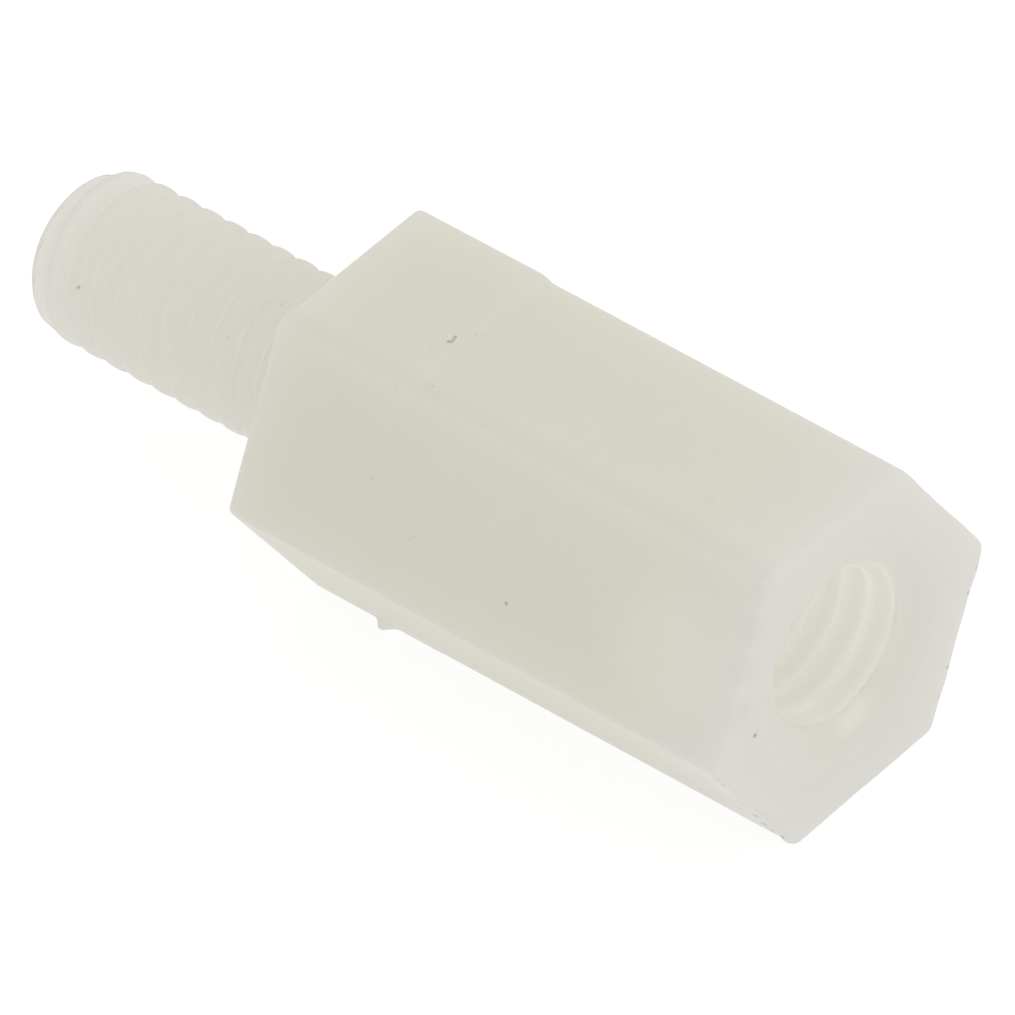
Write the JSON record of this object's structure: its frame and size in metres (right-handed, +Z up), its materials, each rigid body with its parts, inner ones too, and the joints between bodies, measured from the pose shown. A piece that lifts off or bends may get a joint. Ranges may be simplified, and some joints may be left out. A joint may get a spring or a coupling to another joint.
{
  "type": "hex standoff",
  "caption": "Moulded natural nylon hex spacer with a threaded stud at one end and a blind threaded bore at the other.",
  "frame": {"origin": "centre of the shoulder face, on the thread axis", "axes": "+X along the thread axis from the stud to the bore, +Z up and square to the upper flat as the part lies on a flat"},
  "size_m": [0.0161, 0.0064, 0.0055],
  "materials": {
    "natural_nylon": "milky, slightly translucent, satin as moulded"
  },
  "bodies": {
    "root": {"hex_standoff": "natural_nylon"}
  },
  "joints": []
}
